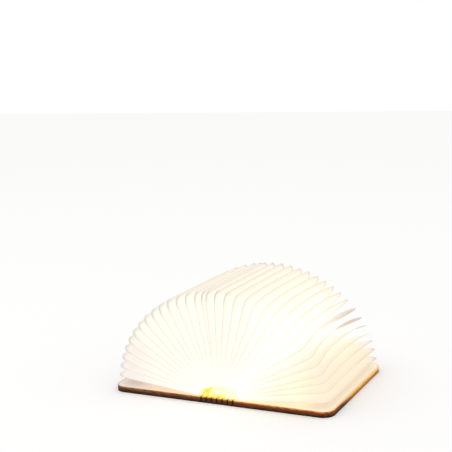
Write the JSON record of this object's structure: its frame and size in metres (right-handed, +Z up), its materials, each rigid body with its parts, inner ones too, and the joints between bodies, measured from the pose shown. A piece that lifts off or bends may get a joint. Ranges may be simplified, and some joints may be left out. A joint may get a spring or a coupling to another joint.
{
  "type": "folding book lamp",
  "caption": "Wooden book lamp that lies open flat: two covers and a slit wooden spine fold shut round a fan of glowing paper pages over a light tray.",
  "frame": {"origin": "middle of the spine, on the table plane under the open boards", "axes": "+X from the left cover to the right cover, +Y along the spine towards the end with the charging socket, +Z up out of the open book"},
  "size_m": [0.184, 0.122, 0.0868],
  "materials": {
    "board_wood": "pale veneer faces, burnt dark brown on the laser-cut edges",
    "page_paper": "smooth tear-proof paper, lit from inside",
    "end_paper": "smooth, glued down",
    "magnet": "nickel plated",
    "tray_plastic": "satin",
    "foam": "soft double-sided foam strip",
    "frosted_plastic": "frosted, lit",
    "white_board": "white solder mask",
    "green_board": "green solder mask",
    "led_resin": "yellow resin, lit",
    "cell_film": "shrink film",
    "lead_insulation": "satin",
    "shell_steel": "bright",
    "black_plastic": "satin",
    "chip_resin": "satin",
    "switch_glass": "clear",
    "pin_gold": "plated"
  },
  "bodies": {
    "light_module": {"light_tray": "tray_plastic", "tray_pad": "foam", "diffuser": "frosted_plastic", "led_board": "white_board", "leds": "led_resin", "battery": "cell_film", "battery_leads": "lead_insulation", "charge_board": "green_board", "charge_socket": "shell_steel", "socket_tongue": "black_plastic", "control_chip": "chip_resin", "reed_switch": "switch_glass", "board_pins": "pin_gold", "page_17": "page_paper"},
    "left_cover": {"left_cover": "board_wood", "left_end_paper": "end_paper", "left_catch_magnet": "magnet", "trigger_magnet": "magnet"},
    "right_cover": {"right_cover": "board_wood", "right_end_paper": "end_paper", "right_catch_magnet": "magnet"},
    "spine_strip_1": {"spine_strip_1": "board_wood"},
    "spine_strip_2": {"spine_strip_2": "board_wood"},
    "spine_strip_3": {"spine_strip_3": "board_wood"},
    "spine_strip_4": {"spine_strip_4": "board_wood"},
    "spine_strip_5": {"spine_strip_5": "board_wood"},
    "spine_strip_6": {"spine_strip_6": "board_wood"},
    "page_01": {"page_01": "page_paper"},
    "page_02": {"page_02": "page_paper"},
    "page_03": {"page_03": "page_paper"},
    "page_04": {"page_04": "page_paper"},
    "page_05": {"page_05": "page_paper"},
    "page_06": {"page_06": "page_paper"},
    "page_07": {"page_07": "page_paper"},
    "page_08": {"page_08": "page_paper"},
    "page_09": {"page_09": "page_paper"},
    "page_10": {"page_10": "page_paper"},
    "page_11": {"page_11": "page_paper"},
    "page_12": {"page_12": "page_paper"},
    "page_13": {"page_13": "page_paper"},
    "page_14": {"page_14": "page_paper"},
    "page_15": {"page_15": "page_paper"},
    "page_16": {"page_16": "page_paper"},
    "page_18": {"page_18": "page_paper"},
    "page_19": {"page_19": "page_paper"},
    "page_20": {"page_20": "page_paper"},
    "page_21": {"page_21": "page_paper"},
    "page_22": {"page_22": "page_paper"},
    "page_23": {"page_23": "page_paper"},
    "page_24": {"page_24": "page_paper"},
    "page_25": {"page_25": "page_paper"},
    "page_26": {"page_26": "page_paper"},
    "page_27": {"page_27": "page_paper"},
    "page_28": {"page_28": "page_paper"},
    "page_29": {"page_29": "page_paper"},
    "page_30": {"page_30": "page_paper"},
    "page_31": {"page_31": "page_paper"},
    "page_32": {"page_32": "page_paper"},
    "page_33": {"page_33": "page_paper"}
  },
  "joints": [
    {"name": "left_fold", "type": "hinge", "parent": "light_module", "child": "left_cover", "pos_m": [-0.00675, 0, 0.00464], "axis": [0, 1, 0], "range_deg": [0, 90]},
    {"name": "right_fold", "type": "hinge", "parent": "light_module", "child": "right_cover", "pos_m": [0.00675, 0, 0.00464], "axis": [0, -1, 0], "range_deg": [0, 90]},
    {"name": "spine_strip_1_turn", "type": "hinge", "parent": "light_module", "child": "spine_strip_1", "pos_m": [-0.00543, 0, 0.00391], "axis": [0, 1, 0], "range_deg": [0, 75]},
    {"name": "spine_strip_2_turn", "type": "hinge", "parent": "light_module", "child": "spine_strip_2", "pos_m": [-0.00302, 0, 0.0031], "axis": [0, 1, 0], "range_deg": [0, 45]},
    {"name": "spine_strip_3_turn", "type": "hinge", "parent": "light_module", "child": "spine_strip_3", "pos_m": [0, 0, 0.0027], "axis": [0, 1, 0], "range_deg": [0, 15]},
    {"name": "spine_strip_4_turn", "type": "hinge", "parent": "light_module", "child": "spine_strip_4", "pos_m": [0, 0, 0.0027], "axis": [0, -1, 0], "range_deg": [0, 15]},
    {"name": "spine_strip_5_turn", "type": "hinge", "parent": "light_module", "child": "spine_strip_5", "pos_m": [0.00302, 0, 0.0031], "axis": [0, -1, 0], "range_deg": [0, 45]},
    {"name": "spine_strip_6_turn", "type": "hinge", "parent": "light_module", "child": "spine_strip_6", "pos_m": [0.00543, 0, 0.00391], "axis": [0, -1, 0], "range_deg": [0, 75]},
    {"name": "page_01_turn", "type": "hinge", "parent": "left_cover", "child": "page_01", "pos_m": [-0.01626, 0, 0.00491], "axis": [0, -1, 0], "range_deg": [0, 5.5]},
    {"name": "page_02_turn", "type": "hinge", "parent": "left_cover", "child": "page_02", "pos_m": [-0.01289, 0, 0.00483], "axis": [0, -1, 0], "range_deg": [0, 10.53]},
    {"name": "page_03_turn", "type": "hinge", "parent": "left_cover", "child": "page_03", "pos_m": [-0.01164, 0, 0.00423], "axis": [0, -1, 0], "range_deg": [0, 15.6]},
    {"name": "page_04_turn", "type": "hinge", "parent": "left_cover", "child": "page_04", "pos_m": [-0.01095, 0, 0.00355], "axis": [0, -1, 0], "range_deg": [0, 20.72]},
    {"name": "page_05_turn", "type": "hinge", "parent": "left_cover", "child": "page_05", "pos_m": [-0.01047, 0, 0.00293], "axis": [0, -1, 0], "range_deg": [0, 25.91]},
    {"name": "page_06_turn", "type": "hinge", "parent": "light_module", "child": "page_06", "pos_m": [-0.00458, 0, 0.00421], "axis": [0, 1, 0], "range_deg": [0, 58.8]},
    {"name": "page_07_turn", "type": "hinge", "parent": "light_module", "child": "page_07", "pos_m": [-0.00395, 0, 0.00442], "axis": [0, 1, 0], "range_deg": [0, 53.41]},
    {"name": "page_08_turn", "type": "hinge", "parent": "light_module", "child": "page_08", "pos_m": [-0.00322, 0, 0.00466], "axis": [0, 1, 0], "range_deg": [0, 47.88]},
    {"name": "page_09_turn", "type": "hinge", "parent": "light_module", "child": "page_09", "pos_m": [-0.0024, 0, 0.0049], "axis": [0, 1, 0], "range_deg": [0, 42.21]},
    {"name": "page_10_turn", "type": "hinge", "parent": "light_module", "child": "page_10", "pos_m": [-0.00146, 0, 0.00512], "axis": [0, 1, 0], "range_deg": [0, 36.38]},
    {"name": "page_11_turn", "type": "hinge", "parent": "light_module", "child": "page_11", "pos_m": [-0.00036, 0, 0.00525], "axis": [0, 1, 0], "range_deg": [0, 30.39]},
    {"name": "page_12_turn", "type": "hinge", "parent": "light_module", "child": "page_12", "pos_m": [0.00102, 0, 0.00524], "axis": [0, 1, 0], "range_deg": [0, 24.25]},
    {"name": "page_13_turn", "type": "hinge", "parent": "light_module", "child": "page_13", "pos_m": [0.00295, 0, 0.00495], "axis": [0, 1, 0], "range_deg": [0, 17.99]},
    {"name": "page_14_turn", "type": "hinge", "parent": "light_module", "child": "page_14", "pos_m": [0.00617, 0, 0.00416], "axis": [0, 1, 0], "range_deg": [0, 11.89]},
    {"name": "page_15_turn", "type": "hinge", "parent": "light_module", "child": "page_15", "pos_m": [0.0107, 0, 0.00425], "axis": [0, 1, 0], "range_deg": [0, 7.8]},
    {"name": "page_16_turn", "type": "hinge", "parent": "light_module", "child": "page_16", "pos_m": [0.017, 0, 0.00657], "axis": [0, 1, 0], "range_deg": [0, 5.2]},
    {"name": "page_18_turn", "type": "hinge", "parent": "light_module", "child": "page_18", "pos_m": [-0.0143, 0, 0.00756], "axis": [0, -1, 0], "range_deg": [0, 6.14]},
    {"name": "page_19_turn", "type": "hinge", "parent": "light_module", "child": "page_19", "pos_m": [-0.0063, 0, 0.00746], "axis": [0, -1, 0], "range_deg": [0, 12.23]},
    {"name": "page_20_turn", "type": "hinge", "parent": "light_module", "child": "page_20", "pos_m": [-0.00327, 0, 0.00726], "axis": [0, -1, 0], "range_deg": [0, 18.2]},
    {"name": "page_21_turn", "type": "hinge", "parent": "light_module", "child": "page_21", "pos_m": [-0.00146, 0, 0.007], "axis": [0, -1, 0], "range_deg": [0, 24.01]},
    {"name": "page_22_turn", "type": "hinge", "parent": "light_module", "child": "page_22", "pos_m": [-0.00014, 0, 0.00668], "axis": [0, -1, 0], "range_deg": [0, 29.66]},
    {"name": "page_23_turn", "type": "hinge", "parent": "light_module", "child": "page_23", "pos_m": [0.00094, 0, 0.00633], "axis": [0, -1, 0], "range_deg": [0, 35.17]},
    {"name": "page_24_turn", "type": "hinge", "parent": "light_module", "child": "page_24", "pos_m": [0.00188, 0, 0.00594], "axis": [0, -1, 0], "range_deg": [0, 40.53]},
    {"name": "page_25_turn", "type": "hinge", "parent": "light_module", "child": "page_25", "pos_m": [0.00272, 0, 0.00555], "axis": [0, -1, 0], "range_deg": [0, 45.78]},
    {"name": "page_26_turn", "type": "hinge", "parent": "light_module", "child": "page_26", "pos_m": [0.00348, 0, 0.00517], "axis": [0, -1, 0], "range_deg": [0, 50.92]},
    {"name": "page_27_turn", "type": "hinge", "parent": "light_module", "child": "page_27", "pos_m": [0.00416, 0, 0.00482], "axis": [0, -1, 0], "range_deg": [0, 55.98]},
    {"name": "page_28_turn", "type": "hinge", "parent": "light_module", "child": "page_28", "pos_m": [0.00476, 0, 0.00453], "axis": [0, -1, 0], "range_deg": [0, 60.98]},
    {"name": "page_29_turn", "type": "hinge", "parent": "right_cover", "child": "page_29", "pos_m": [0.01012, 0, 0.00256], "axis": [0, 1, 0], "range_deg": [0, 24.07]},
    {"name": "page_30_turn", "type": "hinge", "parent": "right_cover", "child": "page_30", "pos_m": [0.01057, 0, 0.00327], "axis": [0, 1, 0], "range_deg": [0, 19.15]},
    {"name": "page_31_turn", "type": "hinge", "parent": "right_cover", "child": "page_31", "pos_m": [0.01125, 0, 0.00403], "axis": [0, 1, 0], "range_deg": [0, 14.25]},
    {"name": "page_32_turn", "type": "hinge", "parent": "right_cover", "child": "page_32", "pos_m": [0.01251, 0, 0.00473], "axis": [0, 1, 0], "range_deg": [0, 9.37]},
    {"name": "page_33_turn", "type": "hinge", "parent": "right_cover", "child": "page_33", "pos_m": [0.01632, 0, 0.00491], "axis": [0, 1, 0], "range_deg": [0, 4.5]}
  ],
  "couplings": [
    {"joint": "spine_strip_1_turn", "follows": "left_fold", "ratio": 0.83333},
    {"joint": "spine_strip_2_turn", "follows": "left_fold", "ratio": 0.5},
    {"joint": "spine_strip_3_turn", "follows": "left_fold", "ratio": 0.16667},
    {"joint": "spine_strip_4_turn", "follows": "right_fold", "ratio": 0.16667},
    {"joint": "spine_strip_5_turn", "follows": "right_fold", "ratio": 0.5},
    {"joint": "spine_strip_6_turn", "follows": "right_fold", "ratio": 0.83333},
    {"joint": "page_01_turn", "follows": "left_fold", "ratio": 0.061111},
    {"joint": "page_02_turn", "follows": "left_fold", "ratio": 0.11699},
    {"joint": "page_03_turn", "follows": "left_fold", "ratio": 0.17329},
    {"joint": "page_04_turn", "follows": "left_fold", "ratio": 0.2302},
    {"joint": "page_05_turn", "follows": "left_fold", "ratio": 0.2879},
    {"joint": "page_06_turn", "follows": "left_fold", "ratio": 0.65339},
    {"joint": "page_07_turn", "follows": "left_fold", "ratio": 0.59343},
    {"joint": "page_08_turn", "follows": "left_fold", "ratio": 0.53202},
    {"joint": "page_09_turn", "follows": "left_fold", "ratio": 0.46897},
    {"joint": "page_10_turn", "follows": "left_fold", "ratio": 0.40418},
    {"joint": "page_11_turn", "follows": "left_fold", "ratio": 0.33763},
    {"joint": "page_12_turn", "follows": "left_fold", "ratio": 0.26943},
    {"joint": "page_13_turn", "follows": "left_fold", "ratio": 0.19986},
    {"joint": "page_14_turn", "follows": "left_fold", "ratio": 0.13215},
    {"joint": "page_15_turn", "follows": "left_fold", "ratio": 0.086719},
    {"joint": "page_16_turn", "follows": "left_fold", "ratio": 0.057782},
    {"joint": "page_18_turn", "follows": "right_fold", "ratio": 0.068179},
    {"joint": "page_19_turn", "follows": "right_fold", "ratio": 0.13593},
    {"joint": "page_20_turn", "follows": "right_fold", "ratio": 0.20217},
    {"joint": "page_21_turn", "follows": "right_fold", "ratio": 0.26675},
    {"joint": "page_22_turn", "follows": "right_fold", "ratio": 0.32959},
    {"joint": "page_23_turn", "follows": "right_fold", "ratio": 0.39075},
    {"joint": "page_24_turn", "follows": "right_fold", "ratio": 0.45037},
    {"joint": "page_25_turn", "follows": "right_fold", "ratio": 0.50864},
    {"joint": "page_26_turn", "follows": "right_fold", "ratio": 0.56579},
    {"joint": "page_27_turn", "follows": "right_fold", "ratio": 0.62203},
    {"joint": "page_28_turn", "follows": "right_fold", "ratio": 0.67757},
    {"joint": "page_29_turn", "follows": "right_fold", "ratio": 0.2674},
    {"joint": "page_30_turn", "follows": "right_fold", "ratio": 0.21275},
    {"joint": "page_31_turn", "follows": "right_fold", "ratio": 0.15835},
    {"joint": "page_32_turn", "follows": "right_fold", "ratio": 0.10412},
    {"joint": "page_33_turn", "follows": "right_fold", "ratio": 0.05}
  ]
}
